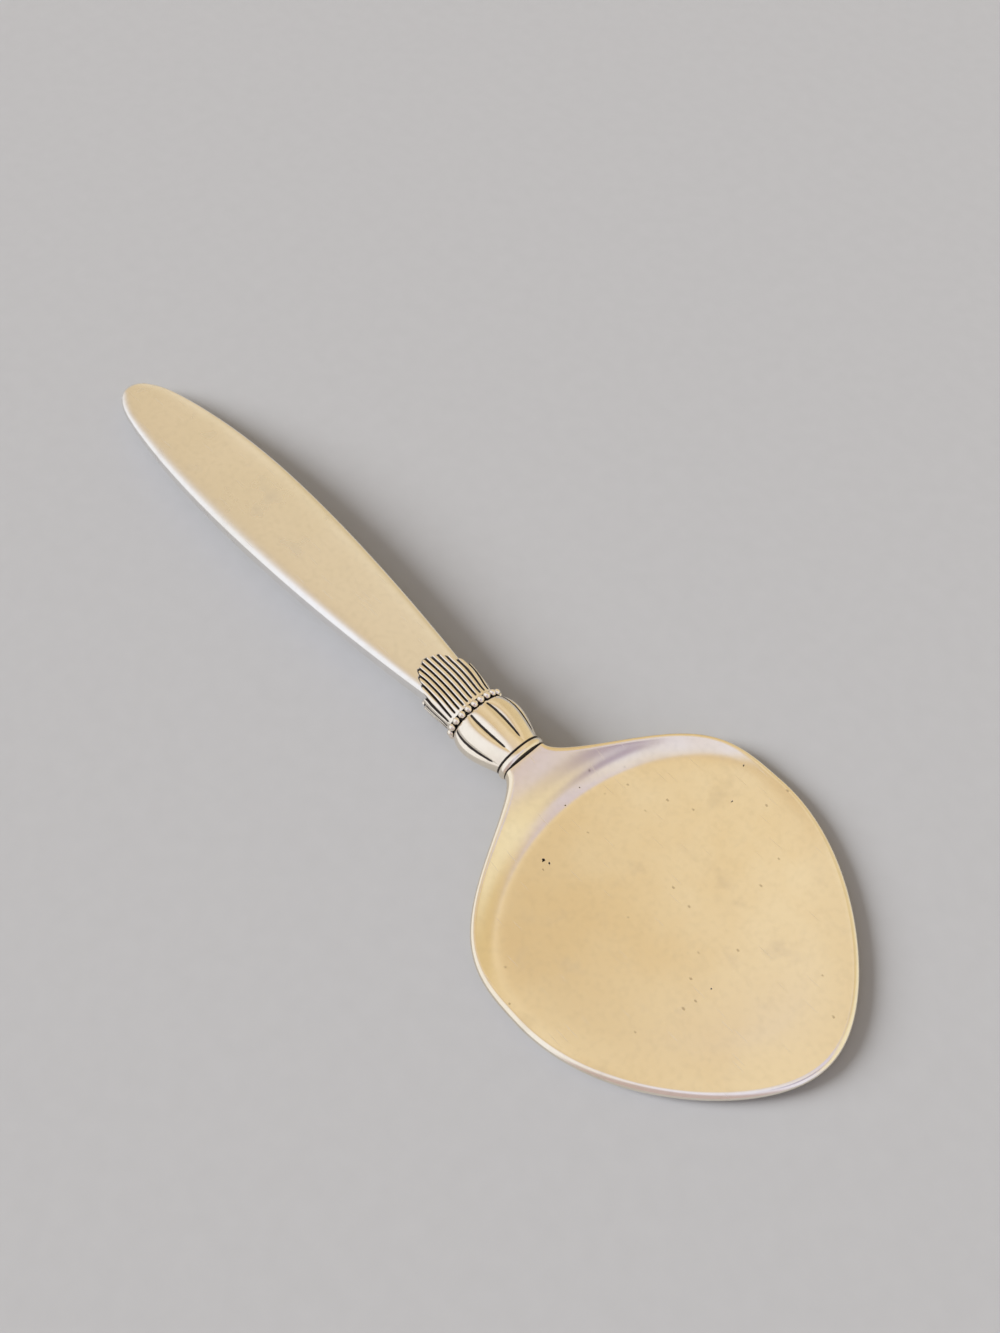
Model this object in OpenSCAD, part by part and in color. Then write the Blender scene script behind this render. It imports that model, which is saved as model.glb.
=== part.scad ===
// Pastry server: a broad egg-shaped silver blade on a hollow handle.
// The handle is two half shells over a cast filler. A tang runs from the blade's neck
// through an oval collar and an ornamented ferrule into the filler.
// Millimetres. X runs from the handle's tip to the blade's tip, Y across, Z up.
// The origin is under the middle of the length, on the surface the server lies on.

/* [Handle] */
// Length from the handle's tip to the collar
handle_l = 114; // [106:1:124]
// Greatest width of the handle
handle_w = 16.8; // [15:0.2:20]
// Distance of the widest place from the tip
handle_widest = 43; // [36:1:52]
// Thickness at the widest place
handle_t = 4.9; // [4.6:0.1:6]
// Thickness near the tip
tip_t = 3; // [2.8:0.1:3.6]
// Length over which the tip is rounded
tip_round = 3; // [2:0.5:4]
// Width where the handle enters the ferrule
waist_w = 9.3; // [8.8:0.1:10.4]
// Thickness where the handle enters the ferrule
waist_t = 4.6; // [4.2:0.1:5]
// Height of the handle's underside at the ferrule
handle_lift = 1.7; // [1.6:0.1:3]
// Distance from the tip to where the handle is fully lifted
arch_l = 60; // [45:1:75]
// Wall of the two half shells
shell_wall = 0.8; // [0.6:0.1:1]

/* [Ferrule] */
// Length from the crown of the arched back edge to the collar
ferrule_l = 23; // [21:0.5:27]
// How far the crown of the back edge reaches behind the handle's waist
ferrule_crown = 3.5; // [2:0.5:5]
// How far the arched back edge falls back at the sides
ferrule_arch = 6; // [3:0.5:7]
// How far the back edge stands proud of the handle
ferrule_lip = 0.45; // [0.4:0.05:0.6]
// Swell of the reeded part over a straight taper
reed_swell = 0.3; // [0.1:0.05:0.5]
// Number of reeds round the ferrule
reed_count = 28; // [20:4:28]
// Depth of the grooves between the reeds
reed_depth = 0.35; // [0.2:0.05:0.4]
// How far the rounded ends of the reeds fall back at the grooves
reed_round = 0.6; // [0.3:0.1:0.8]
// Length of the lobed knop, from the bead row to the collar
knop_l = 10.6; // [9:0.2:12]
// Greatest width of the knop
knop_w = 12.6; // [12:0.2:14]
// Greatest thickness of the knop
knop_t = 7; // [6.6:0.1:7.6]
// Number of lobes round the knop
lobe_count = 8; // [6:2:12]
// Depth of the furrows between the lobes
lobe_depth = 0.45; // [0.2:0.05:0.6]
// Width of the ferrule at its front end
ferrule_front_w = 8.8; // [8.4:0.1:9.2]
// Thickness of the ferrule at its front end
ferrule_front_t = 5.6; // [5.2:0.1:6]

/* [Bead row] */
// Width of the ferrule at the bead row
bead_w = 10.1; // [9.8:0.1:11]
// Thickness of the ferrule at the bead row
bead_t = 6; // [5.6:0.1:6.4]
// Diameter of one bead
bead_d = 1.25; // [1:0.05:1.6]
// Space between neighbouring beads
bead_space = 0.12; // [0.08:0.02:0.3]

/* [Collar] */
// Length of the collar along the handle
collar_l = 1.4; // [1:0.1:2]
// Width of the collar
collar_w = 9.4; // [9.2:0.1:10.4]
// Thickness of the collar
collar_t = 6; // [5.6:0.1:6.6]

/* [Blade] */
// Length from the collar to the blade's tip
blade_l = 64.6; // [58:0.2:74]
// Greatest width of the blade
blade_w = 58.8; // [50:0.2:66]
// Distance of the widest place from the blade's tip
blade_widest = 35; // [31:0.5:38]
// Thickness of the blade
blade_t = 1.8; // [1.4:0.1:2.2]
// Length over which the blade's edge is rounded
edge_round = 1.1; // [0.8:0.1:1.6]
// Height by which the blade's rim is turned up
rim_rise = 0.3; // [0.2:0.1:0.8]
// Width of the turned-up rim
rim_w = 8; // [6:0.5:10]
// Width of the neck at the collar
neck_w = 8.7; // [8.4:0.1:9.2]
// Thickness of the neck at the collar
neck_t = 3.6; // [3.2:0.1:4]
// Distance from the widest place back to the crease under the neck
crease_l = 19; // [17:0.5:22]
// Half width of the flat that the crease bounds
crease_half_w = 27; // [25:0.5:31]

/* [Tang] */
// Width of the tang
tang_w = 3.6; // [3:0.1:4]
// Thickness of the tang
tang_t = 1.6; // [1.2:0.1:1.8]
// Length of the tang behind the collar
tang_l = 56; // [40:1:64]
// Depth of the tang's socket in the neck
tang_socket = 2; // [1.4:0.2:2.4]

/* [Fits] */
// Clearance between the handle and the ferrule's socket
socket_gap = 0.05; // [0.04:0.01:0.1]
// Clearance round the tang
tang_gap = 0.04; // [0.02:0.01:0.1]
// Clearance under each bead
bead_gap = 0.08; // [0.06:0.01:0.12]

/* [Hidden] */

// Forms of the curves, as powers and shares without a unit
handle_taper = 1.85;
heel_power = 3.3;
heel_flare = 1.8;
crease_bend = 0.35;
neck_bend = 0.6;
neck_slope = 0.25;
tip_egg = 0.235;
knop_bias = 0.7;
bead_stand = 0.35;
reed_run = 0.86;
collar_round = 0.8;
tang_point = 0.45;

// Powers of the oval cross-sections, in the upper and the lower half
handle_squareness = [7, 2.2];
ferrule_squareness = [2.2, 2.2];

// Numbers of rows and points
shell_sides = 20;
shell_rows = 24;
spigot_rows = 4;
row_bias = 1.7;
reed_steps = 4;
reed_rows = 8;
channel_rows = 6;
knop_rows = 10;
socket_rows = 4;
collar_sides = 48;
collar_rows = 8;
heel_rows = 20;
heel_bias = 1.25;
tip_rows = 14;
edge_steps = 3;
inner_steps = [0.88, 0.72, 0.5, 0.25];
run_steps = 160;

// Places along the length, measured from the handle's tip
overall_l = handle_l + collar_l + blade_l;
ferrule_u = handle_l - ferrule_l;
waist_u = ferrule_u + ferrule_crown;
bead_u = handle_l - knop_l;
blade_u = handle_l + collar_l;
blade_wide_u = overall_l - blade_widest;
heel_l = blade_wide_u - blade_u;
channel_r = bead_d / 2 + bead_gap;
channel_half = channel_r * sqrt(1 - bead_stand * bead_stand);
socket_floor_u = bead_u - channel_half;
knop_u = bead_u + channel_half;
spigot_end_u = socket_floor_u - socket_gap;
waist_slope = handle_taper * (handle_w - waist_w) / 2 / (waist_u - handle_widest);

// Heights above the surface
axis_h = handle_lift + waist_t / 2;
neck_rise = axis_h - neck_t / 2;

function lerp(a, b, t) = a + (b - a) * t;
function unit(t) = max(0, min(1, t));
function smooth(t) = let(c = unit(t)) c * c * (3 - 2 * c);
function rounded(t) = sqrt(1 - pow(1 - unit(t), 2));
function signed_pow(v, e) = sign(v) * pow(abs(v), e);

// Faces turned over, each still starting at its first corner
function flip(faces) = [for (f = faces) concat(f[0], [for (k = [len(f) - 1 : -1 : 1]) f[k]])];

// Point of an oval whose upper and lower half grow squarer as the powers in e rise above 2
function oval(a, half_w, half_t, e) =
    let(power = 2 / (sin(a) < 0 ? e[1] : e[0]))
        [half_w * signed_pow(cos(a), power), half_t * signed_pow(sin(a), power)];

// Angle of an oval at share t of a turn, at which its points are about evenly spaced
function oval_turn(t, e) =
    let(quarter = floor(4 * t), f = 4 * t - quarter, power = e[quarter % 4 < 2 ? 0 : 1] / 2,
        near = pow(f, power), far = pow(1 - f, power))
        90 * (quarter + near / (near + far));

// Table of the distance round an oval against the share of a turn
function run_on(p, i, run) = i < len(p) ? run + norm(p[i] - p[i - 1]) : run;
function oval_runs(half_w, half_t, e) =
    let(p = [for (i = [0 : run_steps]) oval(oval_turn(i / run_steps, e), half_w, half_t, e)])
        [for (i = 0, run = 0; i <= run_steps; i = i + 1, run = run_on(p, i, run)) [run, i / run_steps]];
function oval_loop(runs) = runs[run_steps][0];

// Angles of n points spread evenly round an oval
function even_turns(runs, e, n) =
    [for (j = [0 : n - 1]) oval_turn(lookup(oval_loop(runs) * j / n, runs), e)];

// Place of a cross-section point at length u
function at(u, p, h) = [u - overall_l / 2, p.x, h + p.y];

// Quads of an outer skin that join ring r to ring r + 1, both of n points from index start
function band(start, r, n, closed = true) =
    [for (j = [0 : n - (closed ? 1 : 2)]) let(k = (j + 1) % n, a = start + r * n, b = a + n)
        [b + j, b + k, a + k, a + j]];

// Handle: half sizes of the shells at length u, inset by g from the outer surface
function shell_half_w(u, g) =
    u < handle_widest ?
        (handle_w / 2 - g) * rounded((u - g) / (handle_widest - g)) :
    u < waist_u ?
        handle_w / 2 - g - (handle_w - waist_w) / 2
            * pow((u - handle_widest) / (waist_u - handle_widest), handle_taper) :
        waist_w / 2 - g - waist_slope * (u - waist_u);
function body_half_t(u) =
    u < handle_widest ?
        lerp(tip_t, handle_t, sin(90 * u / handle_widest)) / 2 :
        lerp(handle_t, waist_t, smooth((u - handle_widest) / (waist_u - handle_widest))) / 2;
function shell_half_t(u, g) = (body_half_t(u) - g) * rounded((u - g) / tip_round);
function lift(u) = handle_lift * (1 - pow(1 - unit((u - tip_round) / (arch_l - tip_round)), 2));
function mid_h(u) = lift(u) + body_half_t(u);
function shell_point(u, g, a) =
    at(u, oval(a, shell_half_w(u, g), shell_half_t(u, g), handle_squareness), mid_h(u));

shell_us = concat(
    [for (i = [1 : shell_rows]) waist_u * pow(i / shell_rows, row_bias)],
    [for (i = [1 : spigot_rows]) lerp(waist_u, spigot_end_u, i / spigot_rows)]);
shell_ring_count = len(shell_us);
function inner_u(u) = lerp(shell_wall, spigot_end_u, u / spigot_end_u);

// Half shell from angle start on: outer skin, inner skin, the two seam faces and the open end
module half_shell(start) {
    n = shell_sides + 1;
    m = shell_sides / 2 + 1;
    last = shell_ring_count - 1;
    inner_pole = 1 + shell_ring_count * n;
    outer = function (i, j) 1 + i * n + j;
    inner = function (i, j) inner_pole + 1 + i * m + j;
    points = concat(
        [at(0, [0, 0], mid_h(0))],
        [for (u = shell_us) for (j = [0 : n - 1]) shell_point(u, 0, start + 180 * j / (n - 1))],
        [at(shell_wall, [0, 0], mid_h(shell_wall))],
        [for (u = shell_us) for (j = [0 : m - 1])
            shell_point(inner_u(u), shell_wall, start + 180 * j / (m - 1))]);
    faces = concat(
        [for (j = [0 : n - 2]) [0, outer(0, j), outer(0, j + 1)]],
        [for (i = [0 : last - 1]) each band(1, i, n, false)],
        [for (j = [0 : m - 2]) [inner_pole, inner(0, j + 1), inner(0, j)]],
        flip([for (i = [0 : last - 1]) each band(inner_pole + 1, i, m, false)]),
        [[inner_pole, inner(0, 0), outer(0, 0), 0]],
        [[inner_pole, 0, outer(0, n - 1), inner(0, m - 1)]],
        [for (i = [0 : last - 1])
            [outer(i + 1, 0), outer(i, 0), inner(i, 0), inner(i + 1, 0)]],
        [for (i = [0 : last - 1])
            [outer(i + 1, n - 1), inner(i + 1, m - 1), inner(i, m - 1), outer(i, n - 1)]],
        [for (j = [0 : m - 2]) each [
            [inner(last, j), outer(last, 2 * j + 1), outer(last, 2 * j)],
            [inner(last, j), inner(last, j + 1), outer(last, 2 * j + 1)],
            [inner(last, j + 1), outer(last, 2 * j + 2), outer(last, 2 * j + 1)]]]);
    polyhedron(points, faces);
}

module handle_front() {
    color("gainsboro") half_shell(0);
}

module handle_back() {
    color("silver") half_shell(180);
}

// Filler: the whole hollow of the handle, cast round the tang
module handle_filler() {
    last = shell_ring_count - 1;
    points = concat(
        [at(shell_wall, [0, 0], mid_h(shell_wall))],
        [for (u = shell_us) for (j = [0 : shell_sides - 1])
            shell_point(inner_u(u), shell_wall, 360 * j / shell_sides)]);
    faces = concat(
        [for (j = [0 : shell_sides - 1]) [0, 1 + j, 1 + (j + 1) % shell_sides]],
        [for (i = [0 : last - 1]) each band(1, i, shell_sides)],
        [[for (j = [shell_sides - 1 : -1 : 0]) 1 + last * shell_sides + j]]);
    color("dimgray") difference() {
        polyhedron(points, faces);
        tang_bar(tang_gap);
    }
}

// Tang: a flat bar with a pointed end, larger all round by g where it makes its own slot
module tang_bar(g) {
    back = handle_l - tang_l - g;
    front = blade_u + tang_socket + g;
    half = tang_w / 2 + g;
    outline = [
        [back, half * tang_point],
        [back + tang_w, half],
        [front, half],
        [front, -half],
        [back + tang_w, -half],
        [back, -half * tang_point]];
    translate([-overall_l / 2, 0, axis_h - tang_t / 2 - g])
        linear_extrude(tang_t + 2 * g)
            polygon(outline);
}

module tang() {
    color("slategray") tang_bar(0);
}

// Ferrule: half sizes of its outer surface before reeds, lobes and bead channel
function reed_share(u) = unit((u - ferrule_u) / (socket_floor_u - ferrule_u));
function knop_share(u) = unit((u - knop_u) / (handle_l - knop_u));
function knop_bulge(s) = sin(180 * pow(s, knop_bias));
knop_peak = pow(0.5, 1 / knop_bias);
function ferrule_half(u, base, bead, knop, front) =
    u < bead_u ?
        lerp(base, bead, smooth(reed_share(u))) + reed_swell * sin(180 * reed_share(u)) :
        lerp(bead, front, knop_share(u))
            + (knop - lerp(bead, front, knop_peak)) * knop_bulge(knop_share(u));
function ferrule_half_w(u) = ferrule_half(u,
    shell_half_w(min(u, waist_u), 0) + socket_gap + ferrule_lip,
    bead_w / 2, knop_w / 2, ferrule_front_w / 2);
function ferrule_half_t(u) = ferrule_half(u,
    body_half_t(min(u, waist_u)) + socket_gap + ferrule_lip,
    bead_t / 2, knop_t / 2, ferrule_front_t / 2);
function ferrule_square(u) =
    lerp(handle_squareness, ferrule_squareness, smooth(reed_share(u)));

// Distance from the middle of a reed or lobe, 0 on its crown and 1 in the furrow.
// s is the share of the way round from the middle of the upper face.
function furrow(s, count) = abs(s * count - round(s * count)) * 2;
function reed_cut(u, s) =
    reed_depth * pow(furrow(s, reed_count), 3) * smooth((1 - reed_share(u)) / (1 - reed_run));
function lobe_cut(u, s) =
    lobe_depth * pow(furrow(s, lobe_count), 3) * knop_bulge(knop_share(u));
function channel_cut(u) =
    let(x = abs(u - bead_u))
        x < channel_half ? sqrt(channel_r * channel_r - x * x) - channel_r * bead_stand : 0;
function ferrule_point(u, a, s) =
    let(cut = channel_cut(u) + (u < bead_u ? reed_cut(u, s) : lobe_cut(u, s)))
        at(u, oval(a, ferrule_half_w(u) - cut, ferrule_half_t(u) - cut, ferrule_square(u)),
            u < waist_u ? mid_h(u) : axis_h);

// The back edge is an arch on each face, scalloped by the rounded ends of the reeds
function edge_u(a, s) =
    ferrule_u + ferrule_arch * pow(oval(a, 1, 1, handle_squareness).x, 2)
        + reed_round * pow(furrow(s, reed_count), 2);

module ferrule() {
    n = reed_count * reed_steps;
    shares = [for (j = [0 : n - 1]) j / n - 1 / 4];
    turns = function (u)
        even_turns(oval_runs(ferrule_half_w(u), ferrule_half_t(u), ferrule_square(u)), ferrule_square(u), n);
    arch_turns = turns(ferrule_u);
    edge = [for (j = [0 : n - 1]) edge_u(arch_turns[j], shares[j])];
    reed_turns = [for (i = [0 : reed_rows - 1]) turns(lerp(ferrule_u, socket_floor_u, i / reed_rows))];
    channel_us = [for (i = [0 : channel_rows]) bead_u - channel_half * cos(180 * i / channel_rows)];
    knop_us = [for (i = [1 : knop_rows]) lerp(knop_u, handle_l, i / knop_rows)];
    front_us = concat(channel_us, knop_us);
    front_turns = [for (u = front_us) turns(u)];
    outer_rows = reed_rows + len(front_us);
    socket = outer_rows * n;
    points = concat(
        [for (i = [0 : reed_rows - 1]) for (j = [0 : n - 1])
            ferrule_point(lerp(edge[j], socket_floor_u, i / reed_rows), reed_turns[i][j], shares[j])],
        [for (i = [0 : len(front_us) - 1]) for (j = [0 : n - 1])
            ferrule_point(front_us[i], front_turns[i][j], shares[j])],
        [for (i = [0 : socket_rows]) for (j = [0 : n - 1])
            shell_point(lerp(edge[j], socket_floor_u, i / socket_rows), -socket_gap, arch_turns[j])]);
    faces = concat(
        [for (i = [0 : outer_rows - 2]) each band(0, i, n)],
        [[for (j = [n - 1 : -1 : 0]) (outer_rows - 1) * n + j]],
        flip([for (i = [0 : socket_rows - 1]) each band(socket, i, n)]),
        [[for (j = [0 : n - 1]) socket + socket_rows * n + j]],
        [for (j = [0 : n - 1]) let(k = (j + 1) % n) [j, k, socket + k, socket + j]]);
    color("lightgray") difference() {
        polyhedron(points, faces);
        tang_bar(tang_gap);
    }
}

// Beads: spread evenly along the oval on which their centres lie
bead_half_w = bead_w / 2 + bead_stand * channel_r;
bead_half_t = bead_t / 2 + bead_stand * channel_r;
bead_runs = oval_runs(bead_half_w, bead_half_t, ferrule_squareness);
bead_count = 2 * floor(oval_loop(bead_runs) / (bead_d + bead_space) / 2);

module bead_row() {
    color("whitesmoke")
        for (a = even_turns(bead_runs, ferrule_squareness, bead_count))
            translate(at(bead_u, oval(a, bead_half_w, bead_half_t, ferrule_squareness), axis_h))
                sphere(d = bead_d, $fn = 24);
}

// Collar: an oval washer with a half-round rim, threaded on the tang
module collar() {
    n = collar_sides;
    rim = collar_l / 2;
    points = [for (i = [0 : collar_rows]) for (j = [0 : n - 1])
        let(turn = 180 * i / collar_rows, inset = collar_round * rim * (1 - sin(turn)))
            at(handle_l + rim * (1 - cos(turn)),
                oval(360 * j / n, collar_w / 2 - inset, collar_t / 2 - inset, ferrule_squareness),
                axis_h)];
    faces = concat(
        [[for (j = [0 : n - 1]) j]],
        [for (i = [0 : collar_rows - 1]) each band(0, i, n)],
        [[for (j = [n - 1 : -1 : 0]) collar_rows * n + j]]);
    color("gainsboro") difference() {
        polyhedron(points, faces);
        tang_bar(tang_gap);
    }
}

// Blade: half width of the outline at length u
function blade_half_w(u) =
    u < blade_wide_u ?
        let(a = (blade_wide_u - u) / heel_l)
            lerp(neck_w, blade_w, pow(unit(1 - pow(a, heel_power)), heel_flare)) / 2 :
        let(a = unit((u - blade_wide_u) / blade_widest))
            blade_w / 2 * sqrt(1 - a * a) * (1 - tip_egg * a * a);

// Distance of a point from the outline, true at the edge and growing inwards
slope_step = heel_l / 1000;
function half_w_squared(u) = pow(blade_half_w(u), 2);
function edge_run(u) = (half_w_squared(u + slope_step) - half_w_squared(u - slope_step)) / slope_step / 4;
function edge_distance(u, v) =
    (half_w_squared(u) - v * v) / 2 / max(slope_step, norm([edge_run(u), v]));

// How far the place lies up the fall, from 0 at the crease round the flat to 1 at the collar
function neck_share(u, v) =
    let(along = u < blade_wide_u ? (blade_wide_u - u) / crease_l : (u - blade_wide_u) / blade_widest)
        unit((norm([along, v / crease_half_w]) - 1) / (heel_l / crease_l - 1));
// Share of the full height at share t of the fall. It bends up from level at the crease, runs
// straight, and bends back to a part of its steepest slope at the collar.
function fall(t) =
    let(ease = (1 - neck_slope) / neck_bend / 2,
        steep = 1 / (1 - crease_bend / 2 - ease * neck_bend * neck_bend),
        over = max(0, t - 1 + neck_bend))
        t < crease_bend ? steep * t * t / crease_bend / 2 :
        steep * (t - crease_bend / 2 - ease * over * over);
function neck_height(u, v) = fall(neck_share(u, v));
function rim_lift(u, v) =
    rim_rise * pow(1 - unit(edge_distance(u, v) / rim_w), 2) * smooth((u - blade_u) / heel_l);
function blade_rise(u, v) = neck_rise * neck_height(u, v) + rim_lift(u, v);
function blade_thick(u, v) = lerp(blade_t, neck_t, neck_height(u, v));

// Point of the blade's top, side 1, or underside, side -1
function blade_point(u, v, side) =
    let(half = blade_thick(u, v) / 2, full = rounded(edge_distance(u, v) / edge_round))
        at(u, [v, half * (1 + side * full)], blade_rise(u, v));

// Distances from the middle to the edge at which one half of a cross-section has points
function blade_columns(u) =
    let(w = blade_half_w(u),
        steepness = abs(edge_run(u)) / max(w, slope_step),
        edge = min(edge_round * norm([1, steepness]), w / 2))
        concat([for (k = [0 : edge_steps]) w - edge * (1 - cos(90 * k / edge_steps))],
            [for (s = inner_steps) (w - edge) * s]);
function blade_ring(u) =
    let(c = blade_columns(u), n = len(c))
        concat(
            [for (k = [0 : n - 1]) blade_point(u, c[k], k == 0 ? 0 : 1)],
            [blade_point(u, 0, 1)],
            [for (k = [n - 1 : -1 : 0]) blade_point(u, -c[k], k == 0 ? 0 : 1)],
            [for (k = [1 : n - 1]) blade_point(u, -c[k], -1)],
            [blade_point(u, 0, -1)],
            [for (k = [n - 1 : -1 : 1]) blade_point(u, c[k], -1)]);

module blade() {
    us = concat(
        [for (i = [0 : heel_rows]) lerp(blade_u, blade_wide_u, pow(i / heel_rows, heel_bias))],
        [for (i = [1 : tip_rows - 1]) blade_wide_u + blade_widest * sin(90 * i / tip_rows)]);
    rings = [for (u = us) blade_ring(u)];
    n = len(rings[0]);
    tip = n * len(us);
    points = concat([for (r = rings) each r], [blade_point(overall_l, 0, 0)]);
    faces = concat(
        [[for (j = [0 : n - 1]) j]],
        [for (i = [0 : len(us) - 2]) each band(0, i, n)],
        [for (j = [0 : n - 1]) [tip - n + (j + 1) % n, tip - n + j, tip]]);
    color("wheat") difference() {
        polyhedron(points, faces);
        tang_bar(tang_gap);
    }
}

blade();
tang();
collar();
ferrule();
bead_row();
handle_front();
handle_back();
handle_filler();
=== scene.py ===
import math

import bmesh
import bpy
import numpy as np
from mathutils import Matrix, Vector


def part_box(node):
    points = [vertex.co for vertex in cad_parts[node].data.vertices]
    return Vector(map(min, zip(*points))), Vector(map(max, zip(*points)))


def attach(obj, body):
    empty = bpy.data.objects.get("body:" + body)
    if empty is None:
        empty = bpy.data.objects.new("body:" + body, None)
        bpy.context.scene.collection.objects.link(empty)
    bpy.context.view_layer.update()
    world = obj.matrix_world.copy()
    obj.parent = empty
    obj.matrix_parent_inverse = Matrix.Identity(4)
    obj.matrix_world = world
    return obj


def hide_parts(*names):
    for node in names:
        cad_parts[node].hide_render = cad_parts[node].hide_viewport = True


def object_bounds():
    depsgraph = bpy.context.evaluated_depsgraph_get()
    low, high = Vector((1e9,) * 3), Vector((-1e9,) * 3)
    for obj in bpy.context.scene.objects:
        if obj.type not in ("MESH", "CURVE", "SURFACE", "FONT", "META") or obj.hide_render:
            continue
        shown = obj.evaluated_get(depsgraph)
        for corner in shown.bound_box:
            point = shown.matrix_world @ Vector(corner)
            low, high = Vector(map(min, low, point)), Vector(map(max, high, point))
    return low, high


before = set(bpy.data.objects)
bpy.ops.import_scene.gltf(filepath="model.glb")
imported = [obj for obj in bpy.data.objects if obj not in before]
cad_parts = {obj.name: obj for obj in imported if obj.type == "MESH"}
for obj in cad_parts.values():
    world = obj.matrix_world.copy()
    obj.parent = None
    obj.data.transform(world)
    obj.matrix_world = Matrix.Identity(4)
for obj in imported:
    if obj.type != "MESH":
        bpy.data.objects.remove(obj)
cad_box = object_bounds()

# A silver pastry server, dressed over its solids. Metres throughout, in the frame of the solids.
# u is the distance along the server from the handle's tip, a an angle round its long axis.

MM = 0.001

# Sizes and places that the solids give
collar_low, collar_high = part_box("collar")
ferrule_low, ferrule_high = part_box("ferrule")
blade_low, blade_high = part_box("blade")
tip_x = cad_box[0].x
overall_l = cad_box[1].x - tip_x
handle_l = collar_low.x - tip_x
handle_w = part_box("handle_front")[1].y * 2
ferrule_u = ferrule_low.x - tip_x
collar_l = collar_high.x - collar_low.x
collar_w = collar_high.y - collar_low.y
collar_t = collar_high.z - collar_low.z
axis_h = (collar_low.z + collar_high.z) / 2
knop_w = ferrule_high.y * 2
knop_t = (ferrule_high.z - axis_h) * 2
blade_u = blade_low.x - tip_x
blade_w = blade_high.y * 2

# Sizes of the handle. Its tip is fuller and softer than the solid's
HANDLE_WIDEST = 43 * MM
HANDLE_T = 4.9 * MM
TIP_T = 3 * MM
TIP_ROUND = 3 * MM
WAIST_W = 9.3 * MM
WAIST_T = 4.6 * MM
HANDLE_LIFT = 1.7 * MM
ARCH_L = 60 * MM
SHELL_WALL = 0.8 * MM
TIP_FULL = 0.45 * MM
TIP_FULL_AT = 4 * MM
TIP_SOFT = 10 * MM
TIP_SQUARENESS = 2.8
HANDLE_TAPER = 1.85
HANDLE_SQUARENESS = (7, 2.2)

# Sizes of the ferrule and its beads
FERRULE_CROWN = 3.5 * MM
FERRULE_ARCH = 6 * MM
FERRULE_LIP = 0.45 * MM
FERRULE_FRONT_W = 8.8 * MM
FERRULE_FRONT_T = 5.6 * MM
FERRULE_SQUARENESS = (2.2, 2.2)
SOCKET_GAP = 0.05 * MM
REED_SWELL = 0.3 * MM
REED_COUNT = 28
REED_DEPTH = 0.35 * MM
REED_ROUND = 0.6 * MM
REED_RUN = 0.86
KNOP_L = 10.6 * MM
KNOP_BIAS = 0.7
LOBE_COUNT = 8
LOBE_DEPTH = 0.45 * MM
BEAD_W = 10.1 * MM
BEAD_T = 6 * MM
BEAD_D = 1.25 * MM
BEAD_SPACE = 0.12 * MM
BEAD_GAP = 0.08 * MM
BEAD_STAND = 0.35
COLLAR_ROUND = 0.8

# Sizes of the blade
BLADE_WIDEST = 35 * MM
BLADE_T = 1.8 * MM
EDGE_ROUND = 1.1 * MM
RIM_RISE = 0.3 * MM
RIM_W = 8 * MM
NECK_W = 8.7 * MM
NECK_T = 3.6 * MM
CREASE_L = 19 * MM
CREASE_HALF_W = 27 * MM
CREASE_BEND = 0.35
NECK_BEND = 0.6
NECK_SLOPE = 0.25
HEEL_POWER = 3.3
HEEL_FLARE = 1.8
TIP_EGG = 0.235

# Places along the server that follow from those sizes
waist_u = ferrule_u + FERRULE_CROWN
bead_u = handle_l - KNOP_L
channel_r = BEAD_D / 2 + BEAD_GAP
channel_half = channel_r * math.sqrt(1 - BEAD_STAND ** 2)
socket_floor_u = bead_u - channel_half
knop_u = bead_u + channel_half
spigot_end_u = socket_floor_u - SOCKET_GAP
waist_slope = HANDLE_TAPER * (handle_w - WAIST_W) / 2 / (waist_u - HANDLE_WIDEST)
blade_wide_u = overall_l - BLADE_WIDEST
heel_l = blade_wide_u - blade_u
neck_rise = axis_h - NECK_T / 2


# Curves
RUN_STEPS = 2000


def lerp(a, b, t):
    return a + (b - a) * t


def unit(t):
    return np.clip(t, 0, 1)


def smooth(t):
    return unit(t) ** 2 * (3 - 2 * unit(t))


def between(low, high, t):
    """0 below low, 1 above high and a smooth step from one to the other."""
    return smooth((t - low) / (high - low))


def rounded(t):
    return np.sqrt(1 - (1 - unit(t)) ** 2)


def signed_pow(v, e):
    return np.sign(v) * np.abs(v) ** e


def oval(a, half_w, half_t, e):
    """Cross-section of an oval, as y and z. Its upper and lower half grow squarer as e rises above 2."""
    power = 2 / np.where(np.sin(a) < 0, e[1], e[0])
    return half_w * signed_pow(np.cos(a), power), half_t * signed_pow(np.sin(a), power)


def oval_turn(t, e):
    """Angle of an oval at share t of a turn, at which its points are about evenly spaced."""
    quarter = np.floor(4 * t)
    power = np.where(quarter % 4 < 2, e[0], e[1]) / 2
    near, far = (4 * t - quarter) ** power, (1 + quarter - 4 * t) ** power
    return math.pi / 2 * (quarter + near / (near + far))


def even_turns(half_w, half_t, e, count):
    """Angles of points spread evenly round an oval."""
    t = np.linspace(0, 1, RUN_STEPS + 1)
    y, z = oval(oval_turn(t, e), half_w, half_t, e)
    run = np.concatenate([[0], np.cumsum(np.hypot(np.diff(y), np.diff(z)))])
    return oval_turn(np.interp(run[-1] * np.arange(count) / count, run, t), e)


def oval_loop(half_w, half_t, e):
    """Length of the way round an oval."""
    y, z = oval(oval_turn(np.linspace(0, 1, RUN_STEPS + 1), e), half_w, half_t, e)
    return np.hypot(np.diff(y), np.diff(z)).sum()


def points(u, y, z):
    """Points of the surface from their distance along the server, y and height."""
    u, y, z = np.broadcast_arrays(u, y, z)
    return np.stack([u + tip_x, y, z], axis=-1)


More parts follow.
